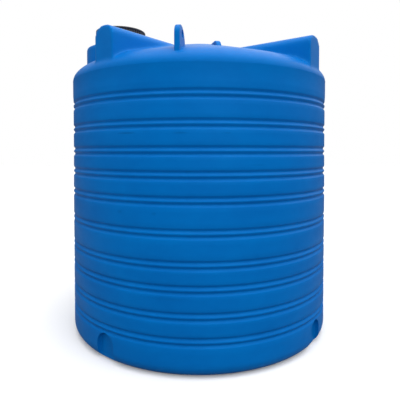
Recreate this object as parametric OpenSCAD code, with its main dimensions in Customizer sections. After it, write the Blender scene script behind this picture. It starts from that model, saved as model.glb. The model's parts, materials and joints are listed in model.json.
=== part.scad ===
// Vertical farm water storage tank: one-piece ribbed moulding with a screw lid,
// float-valve inlet, screened overflow, ball-valve outlet and drain plug.
// Millimetres. +Z up, origin at the centre of the floor, front of the tank towards -Y.

/* [Tank body] */
// Radius of the plain wall between the ribs
wall_radius = 1150; // [1100:5:1200]
// Thickness of the moulded wall
wall_thickness = 10; // [8:1:12]
// Height of the straight wall, up to the mould line
wall_height = 2185; // [2150:5:2250]
// Extra radius of the band above the top ribs
shoulder_step = 7; // [2:1:10]
// Radius of the shoulder between wall and top
shoulder_radius = 163; // [150:1:175]
// Radius of the edge between wall and floor
foot_radius = 69; // [50:1:80]
// Slope of the top, in degrees
top_slope = 8; // [6:0.5:10]

/* [Ribs] */
// Depth of each groove in the wall
groove_depth = 10; // [6:1:14]
// Height of one flank of a groove
groove_flank = 22; // [18:1:24]

/* [Turrets and platform] */
// Level of the turret ridges and of the lid platform
ridge_level = 2518; // [2500:1:2530]
// Half the width of a turret
turret_half_width = 102; // [95:1:110]
// Distance of a turret's face from the tank's axis
turret_face = 1127; // [1115:1:1135]
// Radius of the turret's arched ridge
turret_arch_radius = 114; // [112:1:120]
// Radius of the lid platform
platform_radius = 307; // [290:1:315]

/* [Manway] */
// Distance of the lid's centre from the tank's axis
manway_distance = 736; // [720:1:745]
// Inner radius of the neck
neck_bore = 198; // [190:1:200]
// Top of the lid's rim
lid_top = 2680; // [2660:1:2700]

/* [Lifting eyes] */
// Thickness of a lifting eye
eye_thickness = 34; // [28:1:40]
// Radius of the shackle hole
eye_hole_radius = 25; // [20:1:28]

/* [Foot recesses] */
// Half the width of a foot recess
recess_half_width = 90; // [80:1:95]
// Distance of a recess's flat face from the tank's axis
recess_face = 1115; // [1105:1:1125]
// Height of a recess
recess_height = 220; // [200:1:230]

/* [Float valve] */
// Length of the float's rod, pivot to ball centre
float_reach = 380; // [300:5:400]
// Radius of the float ball
float_radius = 75; // [60:1:80]
// Angle of the hanging rod below level, tank empty
float_hang = 50; // [45:1:55]

/* [Hidden] */
$fn = 96;

tank_blue = [0.00, 0.45, 0.78];
fitting_black = [0.09, 0.10, 0.11];
rubber_black = [0.05, 0.05, 0.05];
valve_grey = [0.35, 0.37, 0.39];
handle_red = [0.75, 0.12, 0.08];
brass = [0.78, 0.62, 0.30];
steel = [0.75, 0.76, 0.78];

// Directions are turned from the front, -Y, towards +X.
turret_angles = [-37.5, 54, 142.5, -127.5];
manway_angle = -82.5;
eye_angles = [-7.7, 172.3];
tether_angle = 14.5;
outlet_angle = -127.5;
drain_angle = 142.5;
inlet_angle = 142.5;
overflow_angle = -127.5;

// Middle heights of the ten double grooves.
groove_heights = [257, 430, 619, 788, 1008, 1232, 1408, 1579, 1767, 1970];
crown_start = 400;
crown_radius = crown_start / sin(top_slope);
shoulder_axis = wall_radius + shoulder_step - shoulder_radius;
shoulder_end_r = shoulder_axis + shoulder_radius * sin(top_slope);
shoulder_end_z = wall_height + shoulder_radius * cos(top_slope);
crown_start_z = shoulder_end_z + (shoulder_end_r - crown_start) * tan(top_slope);
crown_axis_z = crown_start_z - crown_radius * cos(top_slope);
turret_nose = 430;
turret_base = 2195;
arch_axis = ridge_level - turret_arch_radius;
platform_edge = 24;
neck_radius = neck_bore + 10;
neck_top = lid_top - 16;
overlap = 1;

outlet_height = 105;
outlet_pipe = 30.4;
tail_pipe = 29.8;
drain_height = 70;
drain_pipe = 21;
inlet_height = 2430;
inlet_pipe = 16.6;
overflow_height = 2400;
wall_hole_gap = 0.7;
valve_middle = 98;

// Points of an arc in the radius and height plane.
function arc(x, z, r, from, to, steps) =
    [for (i = [0:steps]) let (a = from + (to - from) * i / steps) [x + r * cos(a), z + r * sin(a)]];

// Wall outline through all the grooves, moved inwards by inset.
function groove_points(inset) =
    [for (z = groove_heights) each [
        [wall_radius - inset, z - 2 * groove_flank],
        [wall_radius - groove_depth - inset, z - groove_flank],
        [wall_radius - inset, z],
        [wall_radius - groove_depth - inset, z + groove_flank],
        [wall_radius - inset, z + 2 * groove_flank]
    ]];

// Half outline of the tank, moved inwards by inset.
function tank_outline(inset) = concat(
    [[0, inset]],
    arc(wall_radius - foot_radius, foot_radius, foot_radius - inset, -90, 0, 6),
    groove_points(inset),
    [[wall_radius + shoulder_step - inset, groove_heights[9] + 3 * groove_flank]],
    arc(shoulder_axis, wall_height, shoulder_radius - inset, 0, 90 - top_slope, 8),
    arc(0, crown_axis_z, crown_radius - inset, 90 - top_slope, 90, 4)
);

// Straight ring from low to high.
module ring(outer, inner, low, high) {
    difference() {
        translate([0, 0, low]) cylinder(r = outer, h = high - low);
        translate([0, 0, low - overlap]) cylinder(r = inner, h = high - low + 2 * overlap);
    }
}

// Hexagonal nut across flats, from low to high.
module hex_nut(flats, inner, low, high) {
    difference() {
        translate([0, 0, low]) cylinder(r = flats / sqrt(3), h = high - low, $fn = 6);
        translate([0, 0, low - overlap]) cylinder(r = inner, h = high - low + 2 * overlap);
    }
}

// Puts a fitting on a flat wall face: its Z points out of the tank, its Y up.
module on_wall(angle, face, height) {
    rotate([0, 0, angle]) translate([0, -face, height]) rotate([90, 0, 0]) children();
}

// Puts a fitting on the lid's axis.
module on_manway() {
    rotate([0, 0, manway_angle]) translate([0, -manway_distance, 0]) children();
}

// Cross-section of a turret: a box with an arched ridge.
module turret_section(inset) {
    half = turret_half_width - inset;
    arch = turret_arch_radius - inset;
    spring = arch_axis + sqrt(arch * arch - half * half);
    translate([-half, turret_base + inset]) square([2 * half, spring - turret_base - inset]);
    intersection() {
        translate([0, arch_axis]) circle(r = arch);
        translate([-half, arch_axis]) square([2 * half, 2 * arch]);
    }
}

// Radial turret with a rounded inner end.
module turret(inset) {
    translate([0, -turret_nose, 0]) rotate([90, 0, 0])
        linear_extrude(turret_face - inset - turret_nose) turret_section(inset);
    intersection() {
        translate([0, -turret_nose, arch_axis]) sphere(r = turret_arch_radius - inset);
        translate([-turret_half_width + inset, -2 * turret_nose, turret_base])
            cube([2 * (turret_half_width - inset), 2 * turret_nose, 2 * turret_arch_radius + 200]);
    }
}

// Raised round platform that carries the neck.
module platform(inset) {
    edge = platform_edge - inset;
    rotate_extrude() polygon(concat(
        [[0, turret_base + 2 * inset], [platform_radius - inset, turret_base + 2 * inset]],
        arc(platform_radius - platform_edge, ridge_level - platform_edge, edge, 0, 90, 6),
        [[0, ridge_level - inset]]
    ));
}

// Arched cut for one foot recess, grown by wall on its solid sides.
module foot_recess(wall) {
    half = recess_half_width + wall;
    spring = recess_height - recess_half_width;
    translate([0, -recess_face + wall, 0]) rotate([90, 0, 0]) linear_extrude(200) {
        translate([-half, -overlap]) square([2 * half, spring + overlap]);
        translate([0, spring]) circle(r = half);
    }
}

// Whole outside of the tank, or its cavity when inset by the wall.
module tank_form(inset) {
    difference() {
        union() {
            rotate_extrude($fn = 180) polygon(tank_outline(inset));
            for (angle = turret_angles) rotate([0, 0, angle]) turret(inset);
            on_manway() platform(inset);
        }
        for (angle = turret_angles) rotate([0, 0, angle]) foot_recess(inset);
    }
}

// Upright radial fin with a rounded top and a sloping inner edge.
module fin(outer, top, corner, foot, low) {
    translate([eye_thickness / 2, 0, 0]) rotate([0, 0, -90]) rotate([90, 0, 0])
        linear_extrude(eye_thickness) polygon(concat(
            [[foot, low], [outer, low]],
            arc(outer - corner, top - corner, corner, 0, 120, 8),
            [[foot, low + 40]]
        ));
}

module lifting_eye() { fin(1104, 2484, 92, 830, 2300); }

module tether_lug() { fin(640, 2484, 60, 430, 2395); }

module cross_hole(distance, height, radius) {
    translate([-eye_thickness, -distance, height]) rotate([0, 90, 0])
        cylinder(r = radius, h = 2 * eye_thickness);
}

// Neck with three raised thread turns drawn as rings.
module neck() {
    translate([0, 0, ridge_level - 3 * platform_edge / 2])
        cylinder(r = neck_radius, h = neck_top - ridge_level + 3 * platform_edge / 2);
    for (turn = [0:2]) translate([0, 0, neck_top - 26 - 22 * turn])
        rotate_extrude() polygon([[neck_bore + 5, -6], [neck_radius, -6], [neck_radius + 4, -2],
            [neck_radius + 4, 2], [neck_radius, 6], [neck_bore + 5, 6]]);
}

module tank_shell() {
    color(tank_blue) difference() {
        union() {
            tank_form(0);
            on_manway() neck();
            for (angle = eye_angles) rotate([0, 0, angle]) lifting_eye();
            rotate([0, 0, tether_angle]) tether_lug();
        }
        tank_form(wall_thickness);
        on_manway() translate([0, 0, turret_base + 40]) cylinder(r = neck_bore, h = 600);
        for (angle = eye_angles) rotate([0, 0, angle]) cross_hole(989, 2427, eye_hole_radius);
        rotate([0, 0, tether_angle]) cross_hole(560, 2436, 13);
        on_wall(outlet_angle, recess_face, outlet_height) wall_hole(outlet_pipe);
        on_wall(drain_angle, recess_face, drain_height) wall_hole(drain_pipe);
        on_wall(inlet_angle, turret_face, inlet_height) wall_hole(inlet_pipe);
        on_wall(overflow_angle, turret_face, overflow_height) wall_hole(outlet_pipe);
    }
}

module wall_hole(pipe) {
    translate([0, 0, -3 * wall_thickness]) cylinder(r = pipe + wall_hole_gap, h = 5 * wall_thickness);
}

/* ---- manway lid and its breather ---- */

lid_skirt_low = lid_top - 110;
lid_under = lid_top - 10;
lid_skirt = 222;
breather_pipe = 20;

module manway_lid() {
    color(fitting_black) on_manway() {
        rotate_extrude() polygon([
            [breather_pipe + 0.5, lid_under], [neck_radius + 6, lid_under],
            [neck_radius + 6, lid_skirt_low], [lid_skirt, lid_skirt_low],
            [lid_skirt, lid_under - 8], [lid_skirt + 8, lid_under - 6],
            [lid_skirt + 8, lid_top - 6], [lid_skirt + 2, lid_top],
            [lid_skirt - 18, lid_top], [lid_skirt - 24, lid_top - 4],
            [breather_pipe + 0.5, lid_top - 4]
        ]);
        for (i = [0:35]) rotate([0, 0, 10 * i])
            translate([lid_skirt - 2, -4, lid_skirt_low + 6]) cube([7, 8, 90]);
    }
}

module lid_gasket() {
    color(rubber_black) on_manway() ring(neck_radius + 3, neck_bore, neck_top + 0.3, lid_under - 0.3);
}

module breather_body() {
    color(fitting_black) on_manway() difference() {
        union() {
            translate([0, 0, lid_under - 26]) cylinder(r = breather_pipe, h = 40);
            translate([0, 0, lid_top - 4]) cylinder(r = 36, h = 6);
            translate([0, 0, lid_top + 2]) cylinder(r = 26, h = 12);
        }
        translate([0, 0, lid_under - 27]) cylinder(r = 10, h = 60);
        translate([0, 0, lid_top + 3]) cylinder(r = 19, h = 20);
    }
}

module breather_nut() {
    color(fitting_black) on_manway() hex_nut(56, breather_pipe + 0.2, lid_under - 12, lid_under);
}

module breather_disc() {
    color(rubber_black) on_manway() translate([0, 0, lid_top + 3.4]) {
        cylinder(r = 16, h = 3);
        translate([0, 0, -8]) cylinder(r = 5, h = 9);
    }
}

module breather_screen() {
    color(steel) on_manway() difference() {
        translate([0, 0, lid_top + 14]) cylinder(r = 25, h = 1.5);
        for (x = [-2:2]) for (y = [-2:2])
            translate([7 * x, 7 * y, lid_top + 13]) cylinder(r = 2.4, h = 4);
    }
}

module breather_cap() {
    color(fitting_black) on_manway() difference() {
        rotate_extrude() polygon(concat(
            [[0, lid_top + 18], [27, lid_top + 18], [27, lid_top + 8], [36, lid_top + 4], [42, lid_top + 6]],
            arc(24, lid_top + 12, 18, 0, 90, 5),
            [[0, lid_top + 32]]
        ));
    }
}

/* ---- outlet: bulkhead fitting and ball valve ---- */

module at_outlet() { on_wall(outlet_angle, recess_face, outlet_height) children(); }

module bulkhead(pipe, bore, flange, inner_end, outer_end) {
    difference() {
        union() {
            translate([0, 0, inner_end]) cylinder(r = pipe, h = outer_end - inner_end);
            translate([0, 0, inner_end]) cylinder(r = flange, h = 10);
        }
        translate([0, 0, inner_end - overlap]) cylinder(r = bore, h = outer_end - inner_end + 2);
    }
}

flange_back = -wall_thickness - 14;

module outlet_body() { color(fitting_black) at_outlet() bulkhead(outlet_pipe, 24, 55, flange_back, 58); }
module outlet_inner_gasket() {
    color(rubber_black) at_outlet() ring(52, outlet_pipe + 0.2, -wall_thickness - 4, -wall_thickness);
}
module outlet_outer_gasket() { color(rubber_black) at_outlet() ring(50, outlet_pipe + 0.2, 0, 4); }
module outlet_nut() {
    color(fitting_black) at_outlet() {
        hex_nut(88, outlet_pipe + 0.2, 8, 26);
        ring(50, outlet_pipe + 0.2, 4, 8);
    }
}

module valve_body() {
    color(valve_grey) at_outlet() difference() {
        union() {
            translate([0, 0, 30]) cylinder(r = 40, h = 30, $fn = 8);
            translate([0, 0, 58]) cylinder(r = 45, h = 82);
            translate([0, 0, valve_middle]) rotate([-90, 0, 0]) cylinder(r = 20, h = 60);
            translate([0, 0, 138]) cylinder(r = outlet_pipe + 6, h = 22);
        }
        translate([0, 0, 29]) cylinder(r = outlet_pipe + 0.2, h = 30);
        translate([0, 0, 50]) cylinder(r = 24, h = 120);
        translate([0, 0, valve_middle - 36]) cylinder(r = 37, h = 72);
        translate([0, 0, valve_middle]) rotate([-90, 0, 0]) cylinder(r = 9.3, h = 70);
        translate([0, 46, valve_middle]) rotate([-90, 0, 0]) cylinder(r = 14, h = 20);
    }
}

module valve_seats() {
    color([0.92, 0.92, 0.88]) at_outlet() for (side = [-1, 1]) difference() {
        translate([0, 0, valve_middle + 29 * side]) cylinder(r = 36.7, h = 13.4, center = true);
        cylinder(r = 24, h = 200);
        translate([0, 0, valve_middle]) sphere(r = 34.4);
    }
}

module valve_ball() {
    color(valve_grey) at_outlet() translate([0, 0, valve_middle]) difference() {
        sphere(r = 34);
        rotate([0, 90, 0]) cylinder(r = 23.5, h = 80, center = true);
        translate([-5, 28, -40]) cube([10, 10, 80]);
    }
}

module valve_stem() {
    color(valve_grey) at_outlet() translate([0, 0, valve_middle]) {
        translate([-4.8, 28.3, -8]) cube([9.6, 7, 16]);
        translate([0, 34.4, 0]) rotate([-90, 0, 0]) cylinder(r = 9, h = 26);
        translate([0, 60, 0]) rotate([-90, 0, 0]) cylinder(r = 7, h = 18);
    }
}

module stem_seal() {
    color(rubber_black) at_outlet() translate([0, 0, valve_middle]) rotate([-90, 0, 0])
        ring(13.8, 9.3, 46.2, 50);
}

module valve_gland() {
    color(fitting_black) at_outlet() translate([0, 0, valve_middle]) rotate([-90, 0, 0]) {
        ring(13.8, 9.3, 50.2, 61);
        ring(22, 9.3, 61, 66);
    }
}

module valve_handle() {
    color(handle_red) at_outlet() translate([0, 0, valve_middle]) difference() {
        union() {
            translate([0, 67, 0]) rotate([-90, 0, 0]) cylinder(r = 19, h = 12);
            translate([-150, 69, -13]) cube([150, 8, 26]);
            translate([-150, 69, 0]) rotate([-90, 0, 0]) cylinder(r = 13, h = 8);
        }
        translate([0, 60, 0]) rotate([-90, 0, 0]) cylinder(r = 7.2, h = 18.2);
        translate([0, 60, 0]) rotate([-90, 0, 0]) cylinder(r = 3.2, h = 30);
    }
}

module handle_screw() {
    color(steel) at_outlet() translate([0, 79, valve_middle]) rotate([-90, 0, 0]) difference() {
        union() {
            cylinder(r = 6, h = 4);
            translate([0, 0, -0.8]) cylinder(r = 3, h = 2);
        }
        translate([-5, -0.8, 2.5]) cube([10, 1.6, 2]);
    }
}

module union_nut() {
    color(valve_grey) at_outlet() difference() {
        union() {
            ring(47, outlet_pipe + 6.4, 144, 168);
            ring(47, outlet_pipe + 0.4, 168, 178);
            for (i = [0:11]) rotate([0, 0, 30 * i]) translate([45, -4, 146]) cube([6, 8, 28]);
        }
        translate([0, 0, 140]) cylinder(r = outlet_pipe + 0.4, h = 40);
    }
}

module tail_seal() { color(rubber_black) at_outlet() ring(33, 27, 160, 162.5); }

module outlet_tail() {
    color(valve_grey) at_outlet() difference() {
        union() {
            ring(outlet_pipe + 5.6, 24, 162.5, 167.6);
            ring(tail_pipe - 0.4, 24, 167, 180);
            ring(tail_pipe, 24, 179, 215);
        }
        translate([0, 0, 150]) cylinder(r = 24, h = 90);
    }
}

/* ---- drain plug fitting ---- */

module at_drain() { on_wall(drain_angle, recess_face, drain_height) children(); }

module drain_body() { color(fitting_black) at_drain() bulkhead(drain_pipe, 16, 38, flange_back, 36); }
module drain_gaskets() {
    color(rubber_black) at_drain() {
        ring(36, drain_pipe + 0.2, -wall_thickness - 4, -wall_thickness);
        ring(34, drain_pipe + 0.2, 0, 4);
    }
}
module drain_nut() { color(fitting_black) at_drain() hex_nut(62, drain_pipe + 0.2, 4, 22); }
module drain_plug() {
    color(fitting_black) at_drain() {
        translate([0, 0, 8]) cylinder(r = 15.6, h = 34);
        translate([0, 0, 39.5]) cylinder(r = 27, h = 7);
        translate([0, 0, 46]) cylinder(r = 18, h = 14, $fn = 6);
    }
}
module drain_plug_seal() { color(rubber_black) at_drain() ring(23, 15.8, 36.4, 39.4); }

/* ---- float valve inlet ---- */

pivot_drop = 20;
pivot_depth = -90;
finger_reach = 17;
finger_lean = 15;
plunger_end = pivot_depth - finger_reach * sin(finger_lean) + 4.8;

module at_inlet() { on_wall(inlet_angle, turret_face, inlet_height) children(); }

module inlet_body() {
    color(brass) at_inlet() difference() {
        union() {
            translate([0, 0, -26]) cylinder(r = inlet_pipe - 0.3, h = 40);
            translate([0, 0, 12]) cylinder(r = inlet_pipe, h = 42);
            translate([0, 0, -78]) cylinder(r = 18, h = 53);
            for (side = [-1, 1]) translate([13 * side - 2.5, -30, -100]) cube([5, 38, 34]);
        }
        translate([0, 0, -40]) cylinder(r = 9, h = 100);
        translate([0, 0, -110]) cylinder(r = 10.05, h = 84);
        translate([-20, -pivot_drop, pivot_depth]) rotate([0, 90, 0]) cylinder(r = 3, h = 40);
        translate([0, -30, -36]) rotate([-90, 0, 0]) cylinder(r = 5, h = 30);
    }
}
module inlet_nuts() {
    color(brass) at_inlet() {
        hex_nut(46, inlet_pipe + 0.2, 3, 12);
        hex_nut(46, inlet_pipe + 0.2, -wall_thickness - 10, -wall_thickness);
    }
}
module inlet_gasket() { color(rubber_black) at_inlet() ring(26, inlet_pipe + 0.2, 0, 3); }
module inlet_nozzle() { color([0.9, 0.9, 0.88]) at_inlet() ring(8.9, 4, -31, -16); }
module inlet_plunger() {
    color(brass) at_inlet() translate([0, 0, plunger_end]) cylinder(r = 10, h = -44.3 - plunger_end);
}
module plunger_washer() { color(rubber_black) at_inlet() translate([0, 0, -44.3]) cylinder(r = 7, h = 4); }
module pivot_pin() {
    color(steel) at_inlet() translate([-18, -pivot_drop, pivot_depth]) rotate([0, 90, 0])
        cylinder(r = 2.95, h = 36);
}

// Places things on the float's rod: Z runs from the pivot along the hanging rod.
module on_rod() {
    at_inlet() translate([0, -pivot_drop, pivot_depth]) rotate([180 - float_hang, 0, 0]) children();
}

// Flat lever outline in the height and depth plane: hub, finger and rounded tip.
module lever_outline() {
    difference() {
        union() {
            circle(r = 7);
            rotate(-finger_lean) translate([0, -2.5]) square([finger_reach, 5]);
            rotate(-finger_lean) translate([finger_reach, 0]) circle(r = 3);
        }
        circle(r = 3.02);
    }
}

module float_rod() {
    color(brass) {
        at_inlet() translate([-9, -pivot_drop, pivot_depth]) rotate([90, 0, 90])
            linear_extrude(18) lever_outline();
        on_rod() translate([0, 0, 5]) cylinder(r = 4, h = float_reach - float_radius - 1);
    }
}
module float_nut() {
    color(brass) on_rod() hex_nut(16, 4.1, float_reach - float_radius - 13, float_reach - float_radius - 5);
}
// Hollow ball with a threaded boss for the rod's end.
module float_ball() {
    color([0.85, 0.35, 0.08]) on_rod() difference() {
        union() {
            translate([0, 0, float_reach]) difference() {
                sphere(r = float_radius);
                sphere(r = float_radius - 3);
            }
            translate([0, 0, float_reach - float_radius - 5]) cylinder(r = 9, h = 20);
        }
        cylinder(r = 4.1, h = float_reach - float_radius + 12);
    }
}

/* ---- overflow ---- */

module at_overflow() { on_wall(overflow_angle, turret_face, overflow_height) children(); }

module overflow_body() {
    color(fitting_black) at_overflow() difference() {
        union() {
            translate([0, 0, -40]) cylinder(r = outlet_pipe, h = 50);
            translate([0, 0, 4]) cylinder(r = 50, h = 10);
        }
        translate([0, 0, -42]) cylinder(r = 25, h = 60);
    }
}
module overflow_gasket() { color(rubber_black) at_overflow() ring(48, outlet_pipe + 0.2, 0, 4); }
module overflow_nut() {
    color(fitting_black) at_overflow()
        hex_nut(88, outlet_pipe + 0.2, -wall_thickness - 18, -wall_thickness);
}

// Quarter bend and spout that turn down outside the wall.
module overflow_elbow() {
    color(fitting_black) at_overflow() difference() {
        union() {
            translate([0, 0, 14]) cylinder(r = 33, h = 12);
            translate([0, -45, 26]) rotate([0, 90, 0]) rotate([0, 0, 90])
                rotate_extrude(angle = 90) translate([45, 0]) circle(r = 33);
            translate([0, -45, 71]) rotate([90, 0, 0]) cylinder(r = 33, h = 35);
        }
        translate([0, 0, 13]) cylinder(r = 27, h = 13);
        translate([0, -45, 26]) rotate([0, 90, 0]) rotate([0, 0, 90])
            rotate_extrude(angle = 90) translate([45, 0]) circle(r = 27);
        translate([0, -45, 71]) rotate([90, 0, 0]) cylinder(r = 27, h = 40);
    }
}
module overflow_screen() {
    color(steel) at_overflow() translate([0, -76, 71]) rotate([90, 0, 0]) difference() {
        cylinder(r = 26.8, h = 1.5);
        for (x = [-2:2]) for (y = [-2:2])
            translate([8 * x, 8 * y, -1]) cylinder(r = 2.8, h = 4);
    }
}

tank_shell();
manway_lid();
lid_gasket();
breather_body();
breather_nut();
breather_disc();
breather_screen();
breather_cap();
outlet_body();
outlet_inner_gasket();
outlet_outer_gasket();
outlet_nut();
valve_body();
valve_seats();
valve_ball();
valve_stem();
stem_seal();
valve_gland();
valve_handle();
handle_screw();
union_nut();
outlet_tail();
tail_seal();
drain_body();
drain_gaskets();
drain_nut();
drain_plug();
drain_plug_seal();
inlet_body();
inlet_nuts();
inlet_gasket();
inlet_nozzle();
inlet_plunger();
plunger_washer();
pivot_pin();
float_rod();
float_ball();
float_nut();
overflow_body();
overflow_gasket();
overflow_nut();
overflow_elbow();
overflow_screen();
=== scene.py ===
"""Looks of the farm water storage tank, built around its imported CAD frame.

Metres, +Z up, origin at the centre of the floor, front of the tank towards -Y.
Angles round the tank are turned from the front, -Y, towards +X.
"""

import json
import logging
import math
from collections.abc import Callable, Iterable
from dataclasses import dataclass
from enum import Enum

import bpy
from mathutils import Matrix, Vector

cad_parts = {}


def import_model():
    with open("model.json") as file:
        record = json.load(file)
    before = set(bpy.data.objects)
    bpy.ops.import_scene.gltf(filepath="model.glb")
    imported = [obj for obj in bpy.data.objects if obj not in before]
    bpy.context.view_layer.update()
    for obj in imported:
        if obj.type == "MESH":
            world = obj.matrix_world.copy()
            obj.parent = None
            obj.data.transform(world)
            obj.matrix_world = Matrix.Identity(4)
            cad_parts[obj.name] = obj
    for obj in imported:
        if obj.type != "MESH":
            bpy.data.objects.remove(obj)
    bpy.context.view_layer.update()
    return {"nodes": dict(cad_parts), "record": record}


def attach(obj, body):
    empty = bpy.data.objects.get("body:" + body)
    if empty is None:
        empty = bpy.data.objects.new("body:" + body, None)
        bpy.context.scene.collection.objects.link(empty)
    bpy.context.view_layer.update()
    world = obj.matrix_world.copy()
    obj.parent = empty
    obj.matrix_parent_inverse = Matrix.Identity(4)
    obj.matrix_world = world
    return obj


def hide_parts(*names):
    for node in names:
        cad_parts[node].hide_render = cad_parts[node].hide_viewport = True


LOG = logging.getLogger("tank")
FULL_TURN = 2 * math.pi
Point = tuple[float, float]

# ---------------------------------------------------------------- bench tools


class Cut(Enum):
    """How one solid acts on another."""

    ADD = "UNION"
    TAKE = "DIFFERENCE"


def deselect_all() -> None:
    """Leaves object mode with nothing selected."""
    if bpy.context.mode != "OBJECT":
        bpy.ops.object.mode_set(mode="OBJECT")
    bpy.ops.object.select_all(action="DESELECT")


def pick(*pieces: bpy.types.Object) -> bpy.types.Object:
    """Selects only these pieces and makes the first one active.

    Args:
        pieces: the objects to select.

    Returns:
        The first of them.
    """
    deselect_all()
    for piece in pieces:
        piece.select_set(True)
    bpy.context.view_layer.objects.active = pieces[0]
    return pieces[0]


def new_piece(name: str) -> bpy.types.Object:
    """Names the primitive that was just added.

    Args:
        name: the name of the object and of its mesh.

    Returns:
        The object.
    """
    piece = bpy.context.active_object
    piece.name = name
    piece.data.name = name
    return piece


def bake_place(piece: bpy.types.Object) -> bpy.types.Object:
    """Moves a piece's place, turn and scale into its mesh.

    Args:
        piece: the object to work on.

    Returns:
        The piece, at the origin.
    """
    pick(piece)
    bpy.ops.object.transform_apply(location=True, rotation=True, scale=True)
    return piece


def place(
    piece: bpy.types.Object, matrix: Matrix | None = None, angle: float = 0.0
) -> bpy.types.Object:
    """Puts a finished piece in its place.

    Args:
        piece: the object to move.
        matrix: a frame to put it in, applied first.
        angle: degrees round the tank, applied last.

    Returns:
        The piece, with its place in its mesh.
    """
    piece.matrix_world = Matrix.Rotation(math.radians(angle), 4, "Z") @ (matrix or Matrix())
    return bake_place(piece)


def finish_modifiers(piece: bpy.types.Object) -> bpy.types.Object:
    """Applies all modifiers of a piece, in order.

    Args:
        piece: the object to work on.

    Returns:
        The piece.
    """
    pick(piece)
    for modifier in list(piece.modifiers):
        bpy.ops.object.modifier_apply(modifier=modifier.name)
    return piece


def outward(piece: bpy.types.Object) -> bpy.types.Object:
    """Merges doubles and turns every face of a closed piece outwards.

    Args:
        piece: the closed mesh.

    Returns:
        The piece.
    """
    pick(piece)
    bpy.ops.object.mode_set(mode="EDIT")
    bpy.ops.mesh.select_all(action="SELECT")
    bpy.ops.mesh.remove_doubles(threshold=1e-6)
    bpy.ops.mesh.normals_make_consistent(inside=False)
    bpy.ops.object.mode_set(mode="OBJECT")
    return piece


def smooth_shading(piece: bpy.types.Object, angle: float = 35.0) -> bpy.types.Object:
    """Shades a piece smooth and keeps its sharp edges crisp.

    Args:
        piece: the object to shade.
        angle: edges sharper than this stay crisp, in degrees.

    Returns:
        The piece.
    """
    pick(piece)
    bpy.ops.object.shade_smooth_by_angle(angle=math.radians(angle))
    return piece


def round_edges(
    piece: bpy.types.Object, width: float, angle: float = 40.0, segments: int = 2
) -> bpy.types.Object:
    """Rounds the edges of a piece that are sharper than an angle.

    Args:
        piece: the object to work on.
        width: radius of the rounding, in metres.
        angle: least angle between faces, in degrees.
        segments: steps across the rounding.

    Returns:
        The piece.
    """
    bevel = piece.modifiers.new("rounding", "BEVEL")
    bevel.width = width
    bevel.segments = segments
    bevel.limit_method = "ANGLE"
    bevel.angle_limit = math.radians(angle)
    bevel.use_clamp_overlap = True
    return finish_modifiers(piece)


def cut(piece: bpy.types.Object, tool: bpy.types.Object, how: Cut) -> bpy.types.Object:
    """Adds one closed solid to another or takes it away, and uses it up.

    Args:
        piece: the solid that is changed.
        tool: the solid that changes it.
        how: the kind of cut.

    Returns:
        The piece.
    """
    boolean = piece.modifiers.new("cut", "BOOLEAN")
    boolean.operation = how.value
    boolean.object = tool
    boolean.solver = "EXACT"
    finish_modifiers(piece)
    bpy.data.objects.remove(tool, do_unlink=True)
    return piece


def join(pieces: list[bpy.types.Object], name: str) -> bpy.types.Object:
    """Joins several meshes into one named piece.

    Args:
        pieces: the meshes to join.
        name: the name of the whole.

    Returns:
        The whole.
    """
    whole = pick(*pieces)
    if len(pieces) > 1:
        bpy.ops.object.join()
    whole.name = name
    whole.data.name = name
    return whole


def copy_piece(piece: bpy.types.Object) -> bpy.types.Object:
    """Copies a piece with a mesh of its own.

    Args:
        piece: the object to copy.

    Returns:
        The copy.
    """
    twin = piece.copy()
    twin.data = piece.data.copy()
    bpy.context.collection.objects.link(twin)
    return twin


def select_faces(piece: bpy.types.Object, wanted: Callable[[bpy.types.MeshPolygon], bool]) -> None:
    """Selects some faces of a piece and stays in edit mode.

    Args:
        piece: the object to work on.
        wanted: says of one face whether it is selected.
    """
    pick(piece)
    bpy.ops.object.mode_set(mode="EDIT")
    bpy.ops.mesh.select_mode(type="FACE")
    bpy.ops.mesh.select_all(action="DESELECT")
    bpy.ops.object.mode_set(mode="OBJECT")
    for face in piece.data.polygons:
        face.select = wanted(face)
    bpy.ops.object.mode_set(mode="EDIT")


def draw_chain(name: str, points: Iterable[Vector]) -> bpy.types.Object:
    """Draws a chain of edges by extruding one vertex from point to point.

    Args:
        name: the new object's name.
        points: the places the chain passes through.

    Returns:
        The object, in edit mode, with its last vertex selected.
    """
    deselect_all()
    route = list(points)
    bpy.ops.mesh.primitive_plane_add(size=0.01, location=route[0])
    piece = new_piece(name)
    bake_place(piece)
    bpy.ops.object.mode_set(mode="EDIT")
    bpy.ops.mesh.select_mode(type="VERT")
    bpy.ops.mesh.select_all(action="SELECT")
    bpy.ops.mesh.merge(type="CENTER")
    for here, there in zip(route, route[1:]):
        bpy.ops.mesh.extrude_vertices_move(
            MESH_OT_extrude_verts_indiv={"mirror": False},
            TRANSFORM_OT_translate={"value": there - here},
        )
    return piece


def lathe(
    name: str, outline: Iterable[Point], steps: int = 96, centre: Point = (0.0, 0.0)
) -> bpy.types.Object:
    """Turns an outline round an upright axis into a closed solid.

    Args:
        name: the new object's name.
        outline: points (radius, height). It starts and ends on the axis, or is a ring
            whose last point equals its first.
        steps: facets round the axis.
        centre: the axis's place.

    Returns:
        The solid.
    """
    piece = draw_chain(name, (Vector((r, 0.0, z)) for r, z in outline))
    bpy.ops.mesh.select_all(action="SELECT")
    bpy.ops.mesh.remove_doubles(threshold=1e-7)
    bpy.ops.mesh.select_all(action="SELECT")
    bpy.ops.mesh.spin(
        steps=steps, angle=FULL_TURN, center=(0.0, 0.0, 0.0), axis=(0.0, 0.0, 1.0)
    )
    bpy.ops.object.mode_set(mode="OBJECT")
    outward(piece)
    return place(piece, Matrix.Translation((centre[0], centre[1], 0.0)))


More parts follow.
